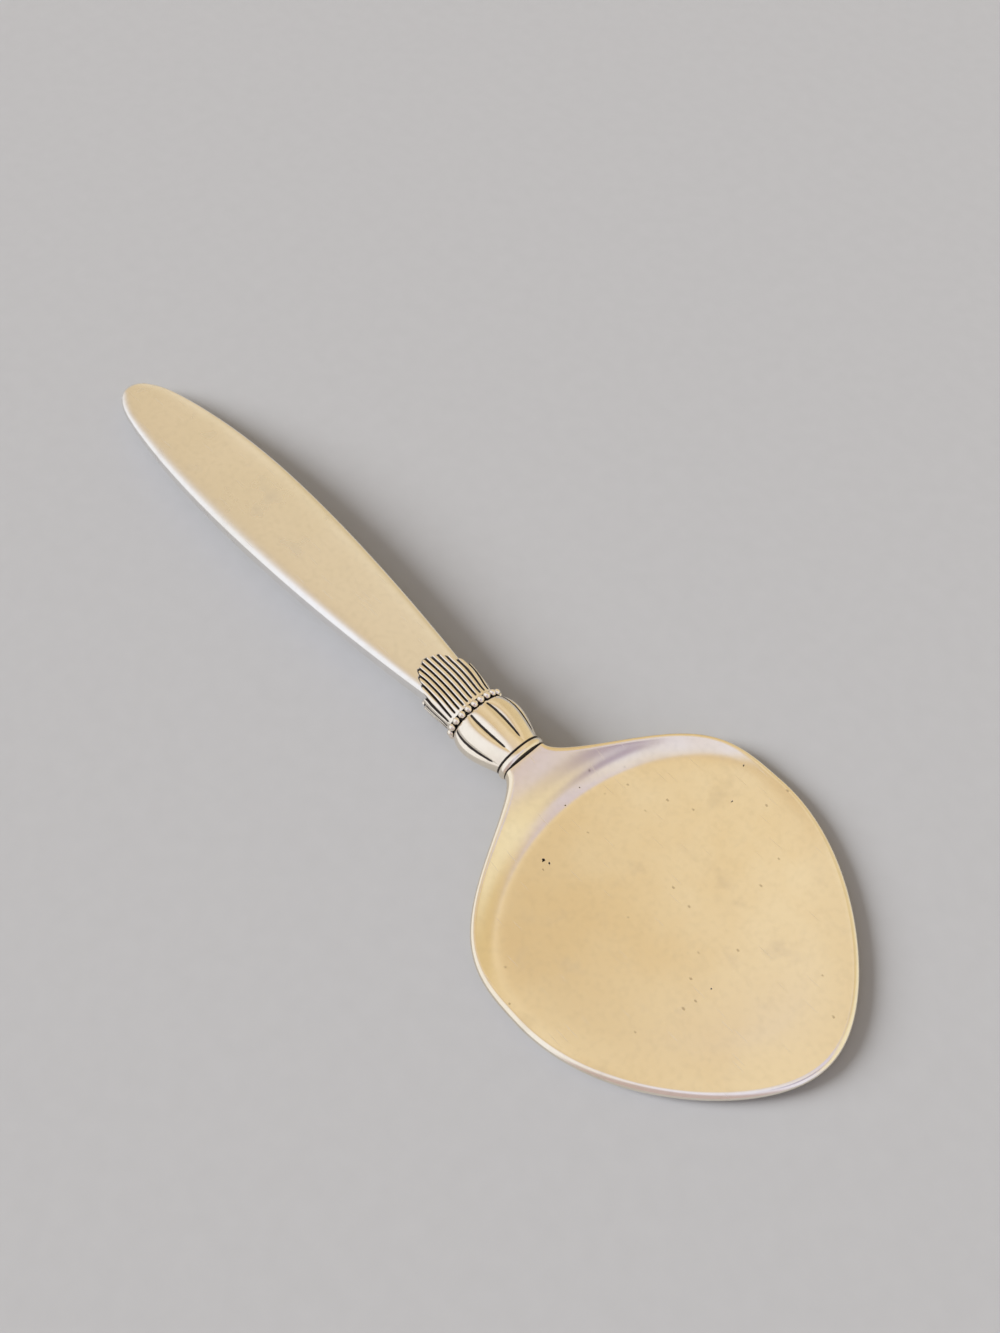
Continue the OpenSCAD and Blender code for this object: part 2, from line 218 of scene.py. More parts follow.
# Camera, at the viewing angle of the photograph
VIEW_AZIMUTH = math.radians(47.55)
VIEW_ELEVATION = math.radians(57.92)
VIEW_AIM = Vector((7.57 * MM, 11 * MM, 0))
VIEW_DISTANCE = 217.6 * MM
VIEW_LENS = 33.96
VIEW_SENSOR = 36
VIEW_NEAR = 10 * MM
VIEW_FAR = 100


def make_camera():
    back = Vector((
        math.sin(VIEW_AZIMUTH) * math.cos(VIEW_ELEVATION),
        -math.cos(VIEW_AZIMUTH) * math.cos(VIEW_ELEVATION),
        math.sin(VIEW_ELEVATION)))
    lens = bpy.data.cameras.new("camera")
    lens.lens = VIEW_LENS
    lens.sensor_width = VIEW_SENSOR
    lens.clip_start = VIEW_NEAR
    lens.clip_end = VIEW_FAR
    camera = bpy.data.objects.new("camera", lens)
    camera.location = VIEW_AIM + back * VIEW_DISTANCE
    camera.rotation_euler = (-back).to_track_quat("-Z", "Y").to_euler()
    bpy.context.scene.collection.objects.link(camera)
    bpy.context.scene.camera = camera


# Node helpers
def add(tree, kind, inputs=None, **settings):
    """New node with its settings and its inputs, each a value or the socket that feeds it."""
    made = tree.nodes.new(kind)
    for name, value in settings.items():
        setattr(made, name, value)
    for name, value in (inputs or {}).items():
        if isinstance(value, bpy.types.NodeSocket):
            tree.links.new(value, made.inputs[name])
        else:
            made.inputs[name].default_value = value
    return made


def calc(tree, operation, first, second):
    return add(tree, "ShaderNodeMath", {0: first, 1: second}, operation=operation).outputs[0]


def plus(tree, total, value, share):
    """Total with a share of a value added."""
    return calc(tree, "ADD", total, calc(tree, "MULTIPLY", value, share))


def ramp(tree, value, low, high, start=0.0, end=1.0):
    """Smooth step of a value from start at low to end at high."""
    made = add(tree, "ShaderNodeMapRange",
               {"Value": value, "From Min": low, "From Max": high, "To Min": start, "To Max": end},
               interpolation_type="SMOOTHSTEP")
    return made.outputs["Result"]


def noise(tree, vector, scale, detail=3.0):
    made = add(tree, "ShaderNodeTexNoise", {"Vector": vector, "Scale": scale, "Detail": detail})
    return made.outputs["Fac"]


def scattered(tree, place, turn, stretch):
    """Cells that are turned and stretched: the distance from a cell's middle, and its own draws."""
    laid = add(tree, "ShaderNodeMapping", {"Vector": place, "Rotation": (0, 0, turn), "Scale": stretch})
    cells = add(tree, "ShaderNodeTexVoronoi", {"Vector": laid.outputs[0], "Scale": 1.0})
    draws = add(tree, "ShaderNodeSeparateColor", {"Color": cells.outputs["Color"]})
    return cells.outputs["Distance"], draws.outputs


def blend(tree, share, first, second):
    """Colour that goes from first to second."""
    return add(tree, "ShaderNodeMix", {0: share, 6: first, 7: second}, data_type="RGBA").outputs[2]


def new_material(name):
    material = bpy.data.materials.new(name)
    material.use_nodes = True
    tree = material.node_tree
    tree.nodes.clear()
    shader = add(tree, "ShaderNodeBsdfPrincipled")
    add(tree, "ShaderNodeOutputMaterial", {"Surface": shader.outputs[0]})
    place = add(tree, "ShaderNodeTexCoord").outputs["Object"]
    return material, tree, shader, place


def coat(tree, shader, tone, rough, height):
    """Gives a material its colour, its roughness and the bump of a height."""
    bump = add(tree, "ShaderNodeBump", {"Height": height, "Distance": 1.0})
    tree.links.new(tone, shader.inputs["Base Color"])
    tree.links.new(rough, shader.inputs["Roughness"])
    tree.links.new(bump.outputs[0], shader.inputs["Normal"])


# Silver: fine scratches, cloudy wear, small flecks and a few pits, with black oxide in the recesses
BLADE_TONES = ((0.94, 0.88, 0.76, 1), (0.90, 0.80, 0.62, 1))
HANDLE_TONES = ((0.915, 0.90, 0.88, 1), (0.885, 0.86, 0.80, 1))
ORNAMENT_TONES = ((0.93, 0.88, 0.80, 1), (0.90, 0.82, 0.68, 1))
OXIDE = (0.022, 0.017, 0.014, 1)
FLECK = (0.30, 0.25, 0.18, 1)
# Scales of the noises, per metre
CLOUD_SCALE = 55.0
GRAIN_SCALE = 900.0
SMUDGE_SCALE = 170.0
WAVE_SCALE = 40.0
FLECK_EDGE_SCALE = 5000.0
PIT_EDGE_SCALE = 2600.0
# Values of a noise or a distance between which each mark comes in
TARNISH_EDGES = (0.3, 0.75)
GRAIN_EDGES = (0.42, 0.72)
SMUDGE_EDGES = (0.58, 0.78)
ROUGH_EDGES = (0.25, 0.8)
SCRATCH_EDGES = (0.14, 0.06)
FLECK_EDGES = (0.27, 0.19)
PIT_EDGES = (0.56 * MM, 0.44 * MM)
OXIDE_EDGES = (0.35, 0.65)
# How far each mark goes toward the tone of the flecks
GRAIN_SHARE = 0.05
SCRATCH_SHARE = 0.14
SMUDGE_SHARE = 0.10
# What each mark adds to the roughness, and how deep it is
ROUGH_SPREAD = (0.9, 1.15)
GRAIN_ROUGH = 0.03
SMUDGE_ROUGH = 0.06
SCRATCH_ROUGH = 0.12
PIT_ROUGH = 0.3
OXIDE_ROUGH = 0.35
SCRATCH_DEPTH = 0.003 * MM
PIT_DEPTH = 0.08 * MM
# Directions and cells of the scratches and flecks, and the share of the cells that have one
SCRATCH_TURNS = (0.35, 1.25, 2.3)
SCRATCH_STRETCH = (70, 2600, 70)
SCRATCH_KEEP = 0.22
FLECK_TURN = 0.8
FLECK_STRETCH = (420, 600, 500)
FLECK_KEEP = 0.11
FLECK_RAGGED = 0.24
PIT_RAGGED = 1.0 * MM
TARNISH_SHIFT = 0.12
OXIDE_METAL = 0.25


def scratches(tree, place):
    """Mask of short straight scratches in a few directions."""
    total = 0.0
    for turn in SCRATCH_TURNS:
        apart, draws = scattered(tree, place, turn, SCRATCH_STRETCH)
        mark = ramp(tree, apart, *SCRATCH_EDGES)
        kept = calc(tree, "LESS_THAN", draws[0], SCRATCH_KEEP)
        total = calc(tree, "MAXIMUM", total, calc(tree, "MULTIPLY", mark, kept))
    return total


def flecks(tree, place):
    """Mask of small irregular flecks, thinly spread."""
    apart, draws = scattered(tree, place, FLECK_TURN, FLECK_STRETCH)
    reach = plus(tree, apart, noise(tree, place, FLECK_EDGE_SCALE), FLECK_RAGGED)
    kept = calc(tree, "LESS_THAN", draws[1], FLECK_KEEP)
    return calc(tree, "MULTIPLY", ramp(tree, reach, *FLECK_EDGES), kept)


def pits(tree, place, places):
    """Mask of single pits, each a place and a radius, with ragged edges."""
    total = 0.0
    ragged = noise(tree, place, PIT_EDGE_SCALE)
    for centre, radius in places:
        apart = add(tree, "ShaderNodeVectorMath", {0: place, 1: centre}, operation="DISTANCE")
        reach = plus(tree, apart.outputs["Value"], ragged, PIT_RAGGED)
        mark = ramp(tree, reach, *(radius + edge for edge in PIT_EDGES))
        total = calc(tree, "MAXIMUM", total, mark)
    return total


def silver(name, tones, roughness, wave, oxide_edge, paler=None, fleck_share=0.0, pit_places=()):
    """Worn silver. Wave is the height of its slow unevenness, oxide_edge how ragged the oxide is.
    Paler is the stretch along the server over which its tarnish thins, and fleck_share how dark
    its small flecks are."""
    material, tree, shader, place = new_material(name)
    cloud = noise(tree, place, CLOUD_SCALE, detail=5.0)
    grain = noise(tree, place, GRAIN_SCALE, detail=4.0)
    smudge = ramp(tree, noise(tree, place, SMUDGE_SCALE), *SMUDGE_EDGES)
    marks = scratches(tree, place)
    tarnish = cloud
    if paler:
        along = add(tree, "ShaderNodeSeparateXYZ", {"Vector": place}).outputs["X"]
        tarnish = calc(tree, "ADD", cloud, ramp(tree, along, *paler, TARNISH_SHIFT, -TARNISH_SHIFT))
    tone = blend(tree, ramp(tree, tarnish, *TARNISH_EDGES), *tones)
    tone = blend(tree, ramp(tree, grain, *GRAIN_EDGES, 0.0, GRAIN_SHARE), tone, FLECK)
    tone = blend(tree, calc(tree, "MULTIPLY", marks, SCRATCH_SHARE), tone, FLECK)
    tone = blend(tree, calc(tree, "MULTIPLY", smudge, SMUDGE_SHARE), tone, FLECK)
    if fleck_share:
        tone = blend(tree, calc(tree, "MULTIPLY", flecks(tree, place), fleck_share), tone, FLECK)
    rough = ramp(tree, cloud, *ROUGH_EDGES, *(roughness * share for share in ROUGH_SPREAD))
    for mark, share in ((grain, GRAIN_ROUGH), (smudge, SMUDGE_ROUGH), (marks, SCRATCH_ROUGH)):
        rough = plus(tree, rough, mark, share)
    height = calc(tree, "MULTIPLY", marks, -SCRATCH_DEPTH)
    height = plus(tree, height, noise(tree, place, WAVE_SCALE, detail=1.0), wave)
    if pit_places:
        holes = pits(tree, place, pit_places)
        tone = blend(tree, holes, tone, OXIDE)
        rough = plus(tree, rough, holes, PIT_ROUGH)
        height = plus(tree, height, holes, -PIT_DEPTH)
    black = add(tree, "ShaderNodeAttribute", attribute_name="oxide").outputs["Fac"]
    black = plus(tree, black, calc(tree, "SUBTRACT", grain, 0.5), oxide_edge)
    black = ramp(tree, black, *OXIDE_EDGES)
    tone = blend(tree, black, tone, OXIDE)
    rough = plus(tree, rough, black, OXIDE_ROUGH)
    coat(tree, shader, tone, rough, height)
    tree.links.new(ramp(tree, black, 0.0, 1.0, 1.0, OXIDE_METAL), shader.inputs["Metallic"])
    return material


# Steel and cement, which are inside
NOISE_EDGES = (0.2, 0.8)
STEEL_TONES = ((0.38, 0.38, 0.40, 1), (0.62, 0.62, 0.64, 1))
STEEL_STRETCH = (60, 3500, 3500)
STEEL_ROUGH = (0.3, 0.45)
STEEL_LINE_H = 0.01 * MM
CEMENT_TONES = ((0.10, 0.075, 0.06, 1), (0.22, 0.165, 0.13, 1))
CEMENT_SCALE = 160.0
CEMENT_ROUGH = (0.7, 0.9)
GRIT_SCALE = 1400.0
GRIT_H = 0.06 * MM


def drawn_steel():
    """Plain drawn steel with lines along the bar."""
    material, tree, shader, place = new_material("tang_steel")
    laid = add(tree, "ShaderNodeMapping", {"Vector": place, "Scale": STEEL_STRETCH})
    lines = noise(tree, laid.outputs[0], 1.0)
    tone = blend(tree, lines, *STEEL_TONES)
    rough = ramp(tree, lines, *NOISE_EDGES, *STEEL_ROUGH)
    coat(tree, shader, tone, rough, calc(tree, "MULTIPLY", lines, STEEL_LINE_H))
    shader.inputs["Metallic"].default_value = 1.0
    return material


def cast_cement():
    """Dark resin cement with grit."""
    material, tree, shader, place = new_material("filler_cement")
    grit = noise(tree, place, GRIT_SCALE, detail=5.0)
    tone = blend(tree, noise(tree, place, CEMENT_SCALE), *CEMENT_TONES)
    rough = ramp(tree, grit, *NOISE_EDGES, *CEMENT_ROUGH)
    coat(tree, shader, tone, rough, calc(tree, "MULTIPLY", grit, GRIT_H))
    return material


# Mesh helpers
SHARP_ANGLE = math.radians(35)


def strip(start, rows, columns, closed):
    """Quads over a grid of points that begins at index start, with its columns joined if closed."""
    index = start + np.arange(rows * columns).reshape(rows, columns)
    if closed:
        index = np.concatenate([index, index[:, :1]], axis=1)
    return np.stack([index[:-1, :-1], index[:-1, 1:], index[1:, 1:], index[1:, :-1]], axis=-1).reshape(-1, 4)


def bridge(first, second):
    """Quads between two rows of indices of the same length."""
    return np.stack([first[:-1], first[1:], second[1:], second[:-1]], axis=-1)


def new_piece(name, node, material, vertices, faces, oxide=None):
    """Closed mesh that stands for a solid, with outward faces and sharp edges kept."""
    mesh = bpy.data.meshes.new(name)
    mesh.from_pydata([tuple(v) for v in vertices], [], faces)
    if oxide is not None:
        layer = mesh.attributes.new("oxide", "FLOAT", "POINT")
        layer.data.foreach_set("value", np.asarray(oxide, np.float32))
    shape = bmesh.new()
    shape.from_mesh(mesh)
    bmesh.ops.recalc_face_normals(shape, faces=shape.faces)
    shape.to_mesh(mesh)
    shape.free()
    mesh.shade_smooth()
    mesh.set_sharp_from_angle(angle=SHARP_ANGLE)
    mesh.materials.append(material)
    piece = bpy.data.objects.new(name, mesh)
    bpy.context.scene.collection.objects.link(piece)
    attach(piece, "root")
    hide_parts(node)
    return piece


# Handle: two half shells
SHELL_SIDES = 96
SHELL_ROWS = 120
ROW_BIAS = 1.7
LINE_ROWS = 70
LINE_FROM = 2.5 * MM
LINE_TO = 4 * MM
SPIGOT_ROWS = 6
JOINT_LINE = 1.5 * MM


def shell_half_w(u, g):
    """Half width of a skin that lies g inside the outer one, which alone is fuller near the tip."""
    full = TIP_FULL * u / TIP_FULL_AT * np.exp(1 - u / TIP_FULL_AT)
    toward_tip = (handle_w / 2 - g) * rounded((u - g) / (HANDLE_WIDEST - g)) + full * (g == 0)
    run = unit((u - HANDLE_WIDEST) / (waist_u - HANDLE_WIDEST))
    toward_waist = handle_w / 2 - g - (handle_w - WAIST_W) / 2 * run ** HANDLE_TAPER
    spigot = WAIST_W / 2 - g - waist_slope * (u - waist_u)
    return np.where(u < HANDLE_WIDEST, toward_tip, np.where(u < waist_u, toward_waist, spigot))


def body_half_t(u):
    toward_tip = lerp(TIP_T, HANDLE_T, np.sin(math.pi / 2 * unit(u / HANDLE_WIDEST))) / 2
    run = (u - HANDLE_WIDEST) / (waist_u - HANDLE_WIDEST)
    return np.where(u < HANDLE_WIDEST, toward_tip, lerp(HANDLE_T, WAIST_T, smooth(run)) / 2)


def shell_half_t(u, g):
    return (body_half_t(u) - g) * rounded((u - g) / TIP_ROUND)


def mid_h(u):
    lifted = HANDLE_LIFT * (1 - (1 - unit((u - TIP_ROUND) / (ARCH_L - TIP_ROUND))) ** 2)
    return lifted + body_half_t(u)


def shell_points(u, g, a):
    upper = lerp(TIP_SQUARENESS, HANDLE_SQUARENESS[0], smooth(u / TIP_SOFT))
    y, z = oval(a, shell_half_w(u, g), shell_half_t(u, g), (upper, HANDLE_SQUARENESS[1]))
    return points(u, y, z + mid_h(u))


def shell_rows():
    body = np.linspace(0, 1, SHELL_ROWS + 1)[1:] ** ROW_BIAS * (ferrule_u - LINE_FROM)
    line = np.linspace(ferrule_u - LINE_FROM, waist_u + LINE_TO, LINE_ROWS + 1)[1:]
    spigot = np.linspace(waist_u + LINE_TO, spigot_end_u, SPIGOT_ROWS + 1)[1:]
    return np.concatenate([body, line, spigot])


def make_shell(name, node, material, start):
    """Half shell over half a turn from angle start, with its inner skin, seam faces and open end."""
    us = shell_rows()[:, None]
    angles = start + np.linspace(0, math.pi, SHELL_SIDES + 1)[None, :]
    inner_us = lerp(SHELL_WALL, spigot_end_u, us / spigot_end_u)
    outer = shell_points(us, 0, angles)
    inner = shell_points(inner_us, SHELL_WALL, angles)
    rows, columns = outer.shape[:2]
    poles = points(np.array([0, SHELL_WALL]), 0, mid_h(np.array([0, SHELL_WALL])))
    vertices = np.concatenate([outer.reshape(-1, 3), inner.reshape(-1, 3), poles])
    outer_ids = np.arange(rows * columns).reshape(rows, columns)
    inner_ids = outer_ids + rows * columns
    outer_pole = 2 * rows * columns
    inner_pole = outer_pole + 1
    quads = [strip(0, rows, columns, False), strip(rows * columns, rows, columns, False)]
    quads.append(bridge(outer_ids[:, 0], inner_ids[:, 0]))
    quads.append(bridge(outer_ids[:, -1], inner_ids[:, -1]))
    quads.append(bridge(outer_ids[-1], inner_ids[-1]))
    faces = np.concatenate(quads).tolist()
    for ids, pole in ((outer_ids, outer_pole), (inner_ids, inner_pole)):
        faces += [(pole, ids[0, j], ids[0, j + 1]) for j in range(columns - 1)]
    for j in (0, -1):
        faces.append((outer_pole, outer_ids[0, j], inner_ids[0, j], inner_pole))
    turns = np.append(arch_turns(), 2 * math.pi)
    shares = np.interp(angles, turns, np.linspace(0, 1, len(turns))) - 1 / 4
    behind = edge_u(angles, shares) - us
    oxide = np.where(behind > 0, between(JOINT_LINE, 0, behind), 1)
    oxide = np.concatenate([oxide.ravel(), np.zeros(rows * columns + 2)])
    new_piece(name, node, material, vertices, faces, oxide)


# Ferrule: a reeded sleeve with a bead channel and a lobed knop
REED_STEPS = 16
REED_ROWS = 56
CHANNEL_ROWS = 24
KNOP_ROWS = 60
SOCKET_ROWS = 6
# Where the black of each groove comes in: across a furrow, and along it as it fades
REED_BLACK = (0.42, 0.74)
REED_BLACK_FADE = (0, 0.4)
LOBE_BLACK = (0.8, 0.96)
LOBE_BLACK_FADE = (0.1, 0.5)
CHANNEL_BLACK = (0.02, 0.25)
FRONT_LINE = (0.35 * MM, 0.05 * MM)


def reed_share(u):
    return unit((u - ferrule_u) / (socket_floor_u - ferrule_u))


def knop_share(u):
    return unit((u - knop_u) / (handle_l - knop_u))


def knop_bulge(s):
    return np.sin(math.pi * s ** KNOP_BIAS)


def ferrule_half(u, base, bead, knop, front):
    peak = 0.5 ** (1 / KNOP_BIAS)
    reeded = lerp(base, bead, smooth(reed_share(u))) + REED_SWELL * np.sin(math.pi * reed_share(u))
    share = knop_share(u)
    lobed = lerp(bead, front, share) + (knop - lerp(bead, front, peak)) * knop_bulge(share)
    return np.where(u < bead_u, reeded, lobed)


def furrow(s, count):
    """0 on the crown of a reed or lobe and 1 in the furrow, at share s round from the upper face."""
    return np.abs(s * count - np.round(s * count)) * 2


def reed_fade(u):
    return smooth((1 - reed_share(u)) / (1 - REED_RUN))


def channel_cut(u):
    x = np.minimum(np.abs(u - bead_u), channel_half)
    return np.sqrt(channel_r ** 2 - x ** 2) - channel_r * BEAD_STAND


def ferrule_sizes(u):
    """Half width, half thickness and squareness of the ferrule before reeds, lobes and channel."""
    at_waist = np.minimum(u, waist_u)
    lip = SOCKET_GAP + FERRULE_LIP
    half_w = ferrule_half(u, shell_half_w(at_waist, 0) + lip, BEAD_W / 2, knop_w / 2, FERRULE_FRONT_W / 2)
    half_t = ferrule_half(u, body_half_t(at_waist) + lip, BEAD_T / 2, knop_t / 2, FERRULE_FRONT_T / 2)
    share = smooth(reed_share(u))
    return half_w, half_t, [lerp(h, f, share) for h, f in zip(HANDLE_SQUARENESS, FERRULE_SQUARENESS)]


def ferrule_turns(u):
    return even_turns(*ferrule_sizes(u), REED_COUNT * REED_STEPS)


def arch_turns():
    return ferrule_turns(np.array(ferrule_u))


def edge_u(a, s):
    """The arched and scalloped back edge of the ferrule."""
    side = oval(a, 1, 1, HANDLE_SQUARENESS)[0]
    return ferrule_u + FERRULE_ARCH * side ** 2 + REED_ROUND * furrow(s, REED_COUNT) ** 2


def ferrule_points(u, a, s):
    half_w, half_t, square = ferrule_sizes(u)
    reeds = REED_DEPTH * furrow(s, REED_COUNT) ** 3 * reed_fade(u)
    lobes = LOBE_DEPTH * furrow(s, LOBE_COUNT) ** 3 * knop_bulge(knop_share(u))
    cut = channel_cut(u) + np.where(u < bead_u, reeds, lobes)
    y, z = oval(a, half_w - cut, half_t - cut, square)
    return points(u, y, z + np.where(u < waist_u, mid_h(u), axis_h))


def ferrule_oxide(u, s):
    """Black in the grooves between reeds and lobes, in the bead channel and at the front joint."""
    reeds = between(*REED_BLACK, furrow(s, REED_COUNT)) * between(*REED_BLACK_FADE, reed_fade(u))
    bulge = knop_bulge(knop_share(u))
    lobes = between(*LOBE_BLACK, furrow(s, LOBE_COUNT)) * between(*LOBE_BLACK_FADE, bulge)
    channel = between(*CHANNEL_BLACK, channel_cut(u) / channel_r)
    joint = between(*FRONT_LINE, handle_l - u)
    return np.maximum.reduce([np.where(u < bead_u, reeds, lobes), channel, joint])


def make_ferrule(material):
    columns = REED_COUNT * REED_STEPS
    shares = (np.arange(columns) / columns - 1 / 4)[None, :]
    edge_turns = arch_turns()[None, :]
    edge = edge_u(edge_turns, shares)
    reach = (np.arange(REED_ROWS) / REED_ROWS)[:, None]
    turn = np.linspace(0, math.pi, CHANNEL_ROWS + 1)
    front = np.append(bead_u - channel_half * np.cos(turn), np.linspace(knop_u, handle_l, KNOP_ROWS + 1)[1:])
    us = np.concatenate([lerp(edge, socket_floor_u, reach), front[:, None] + 0 * shares])
    rings = np.append(lerp(ferrule_u, socket_floor_u, reach[:, 0]), front)
    outer = ferrule_points(us, np.stack([ferrule_turns(u) for u in rings]), shares)
    socket_us = lerp(edge, socket_floor_u, np.linspace(0, 1, SOCKET_ROWS + 1)[:, None])
    socket = shell_points(socket_us, -SOCKET_GAP, edge_turns)
    rows = len(outer)
    vertices = np.concatenate([outer.reshape(-1, 3), socket.reshape(-1, 3)])
    outer_ids = np.arange(rows * columns).reshape(rows, columns)
    socket_ids = outer_ids[-1, -1] + 1 + np.arange(socket.size // 3).reshape(len(socket), columns)
    around = np.append(np.arange(columns), 0)
    quads = [strip(0, rows, columns, True), strip(rows * columns, len(socket), columns, True)]
    quads.append(bridge(outer_ids[0, around], socket_ids[0, around]))
    faces = np.concatenate(quads).tolist() + [outer_ids[-1].tolist(), socket_ids[-1].tolist()]
    oxide = np.concatenate([ferrule_oxide(us, shares).ravel(), np.ones(socket_ids.size)])
    new_piece("ferrule_sleeve", "ferrule", material, vertices, faces, oxide)


# Beads: separate grains in the channel
BEAD_ROUND = 3
BEAD_SEED = 11
BEAD_WEAR = 0.04
BEAD_BLACK = (0.1, -0.2)


def make_beads(material):
    stand = BEAD_STAND * channel_r
    ring = (BEAD_W / 2 + stand, BEAD_T / 2 + stand, FERRULE_SQUARENESS)
    count = 2 * int(oval_loop(*ring) / (BEAD_D + BEAD_SPACE) / 2)
    centres = zip(*oval(even_turns(*ring, count), *ring))
    draw = np.random.default_rng(BEAD_SEED)
    shape = bmesh.new()
    bmesh.ops.create_icosphere(shape, subdivisions=BEAD_ROUND, radius=BEAD_D / 2)
    ball = np.array([v.co for v in shape.verts])
    ball_faces = np.array([[v.index for v in f.verts] for f in shape.faces])
    shape.free()
    vertices, faces, oxide = [], [], []
    for k, (centre_y, centre_z) in enumerate(centres):
        outward = np.array([0, centre_y / BEAD_W ** 2, centre_z / BEAD_T ** 2])
        outward /= np.linalg.norm(outward)
        worn = 1 - BEAD_WEAR * draw.random()
        height = ball @ outward
        grain = ball - np.outer(np.maximum(height, 0) * (1 - worn), outward)
        vertices.append(grain + [bead_u + tip_x, centre_y, centre_z + axis_h])
        faces.append(ball_faces + k * len(ball))
        oxide.append(between(*BEAD_BLACK, height / (BEAD_D / 2)))
    new_piece("bead_grains", "bead_row", material,
              np.concatenate(vertices), np.concatenate(faces).tolist(), np.concatenate(oxide))


# Collar: an oval washer with a half-round rim
COLLAR_SIDES = 240
COLLAR_ROWS = 32
COLLAR_BLACK = (0.55, 0.3)


def make_collar(material):
    angles = (np.arange(COLLAR_SIDES) * 2 * math.pi / COLLAR_SIDES)[None, :]
    turn = np.linspace(0, math.pi, COLLAR_ROWS + 1)[:, None]
    rim = collar_l / 2
    inset = COLLAR_ROUND * rim * (1 - np.sin(turn))
    y, z = oval(angles, collar_w / 2 - inset, collar_t / 2 - inset, FERRULE_SQUARENESS)
    grid = points(handle_l + rim * (1 - np.cos(turn)), y, z + axis_h)
    ids = np.arange(grid.size // 3).reshape(grid.shape[:2])
    faces = strip(0, *ids.shape, True).tolist() + [ids[0].tolist(), ids[-1].tolist()]
    oxide = between(*COLLAR_BLACK, np.sin(turn)) + 0 * angles
    new_piece("collar_ring", "collar", material,
              grid.reshape(-1, 3), faces, oxide.ravel())


# Blade: an egg-shaped plate with raised shoulders and a neck
HEEL_ROWS = 120
HEEL_BIAS = 1.25
TIP_ROWS = 110
EDGE_STEPS = 10
INNER_STEPS = 26
SLOPE_STEP = 0.03 * MM
NECK_LINE = (0.3 * MM, 0.08 * MM)


def blade_half_w(u):
    behind = unit((blade_wide_u - u) / heel_l)
    heel = lerp(NECK_W, blade_w, (1 - behind ** HEEL_POWER) ** HEEL_FLARE) / 2
    ahead = unit((u - blade_wide_u) / BLADE_WIDEST)
    tip = blade_w / 2 * np.sqrt(1 - ahead ** 2) * (1 - TIP_EGG * ahead ** 2)
    return np.where(u < blade_wide_u, heel, tip)


def edge_run(u):
    """Half the slope of the squared half width."""
    step = SLOPE_STEP
    return (blade_half_w(u + step) ** 2 - blade_half_w(u - step) ** 2) / step / 4


def edge_distance(u, v):
    """Distance from the outline, true at the edge and growing inwards."""
    return (blade_half_w(u) ** 2 - v ** 2) / 2 / np.maximum(SLOPE_STEP, np.hypot(edge_run(u), v))


def neck_share(u, v):
    """0 on the flat inside the crease, 1 at the collar."""
    along = np.where(u < blade_wide_u, (blade_wide_u - u) / CREASE_L, (u - blade_wide_u) / BLADE_WIDEST)
    radius = np.hypot(along, v / CREASE_HALF_W)
    return unit((radius - 1) / (heel_l / CREASE_L - 1))


def fall(t):
    """Share of the height at share t of the way from the crease to the collar."""
    ease = (1 - NECK_SLOPE) / NECK_BEND / 2
    steep = 1 / (1 - CREASE_BEND / 2 - ease * NECK_BEND ** 2)
    over = np.maximum(0, t - 1 + NECK_BEND)
    risen = np.where(t < CREASE_BEND, t ** 2 / CREASE_BEND / 2, t - CREASE_BEND / 2 - ease * over ** 2)
    return steep * risen


def blade_points(u, v, side):
    """Points of the blade's top, side 1, its underside, side -1, or its edge, side 0."""
    share = fall(neck_share(u, v))
    half = lerp(BLADE_T, NECK_T, share) / 2
    away = edge_distance(u, v)
    rim = RIM_RISE * (1 - unit(away / RIM_W)) ** 2 * smooth((u - blade_u) / heel_l)
    full = rounded(away / EDGE_ROUND)
    return points(u, v, neck_rise * share + rim + half * (1 + side * full))


def blade_columns(u):
    """Distances from the middle line, edge first, at which half a cross-section has points."""
    w = blade_half_w(u)
    steep = np.abs(edge_run(u)) / np.maximum(w, SLOPE_STEP)
    edge = np.minimum(EDGE_ROUND * np.hypot(1, steep), w / 2)
    turn = np.linspace(0, math.pi / 2, EDGE_STEPS + 1)[None, :]
    inner = np.linspace(1, 0, INNER_STEPS + 1)[None, 1:-1]
    return np.concatenate([w - edge * (1 - np.cos(turn)), (w - edge) * inner], axis=1)


def make_blade(material):
    heel = lerp(blade_u, blade_wide_u, np.linspace(0, 1, HEEL_ROWS + 1) ** HEEL_BIAS)
    tip = blade_wide_u + BLADE_WIDEST * np.sin(math.pi / 2 * np.arange(1, TIP_ROWS) / TIP_ROWS)
    us = np.concatenate([heel, tip])[:, None]
    c = blade_columns(us)
    middle = np.zeros_like(us)
    side = np.ones_like(c)
    side[:, 0] = 0
    across = np.concatenate([c, middle, -c[:, ::-1], -c[:, 1:], middle, c[:, :0:-1]], axis=1)
    upper = [side, middle + 1, side[:, ::-1]]
    lower = [-side[:, 1:], middle - 1, -side[:, :0:-1]]
    sides = np.concatenate(upper + lower, axis=1)
    grid = blade_points(us, across, sides)
    rows, columns = grid.shape[:2]
    end = rows * columns
    vertices = np.concatenate([grid.reshape(-1, 3), blade_points(np.array([overall_l]), 0.0, 0)])
    ids = np.arange(end).reshape(rows, columns)
    faces = strip(0, rows, columns, True).tolist() + [ids[0].tolist()]
    faces += [(ids[-1, j], ids[-1, (j + 1) % columns], end) for j in range(columns)]
    oxide = between(*NECK_LINE, us - blade_u) + 0 * across
    new_piece("blade_plate", "blade", material, vertices, faces, np.append(oxide.ravel(), 0))


# Floor and light
FLOOR_SIZE = 60.0
FLOOR_TONES = ((0.50, 0.495, 0.49, 1), (0.47, 0.465, 0.46, 1))
FLOOR_SCALE = 300.0
FLOOR_ROUGH = 0.8
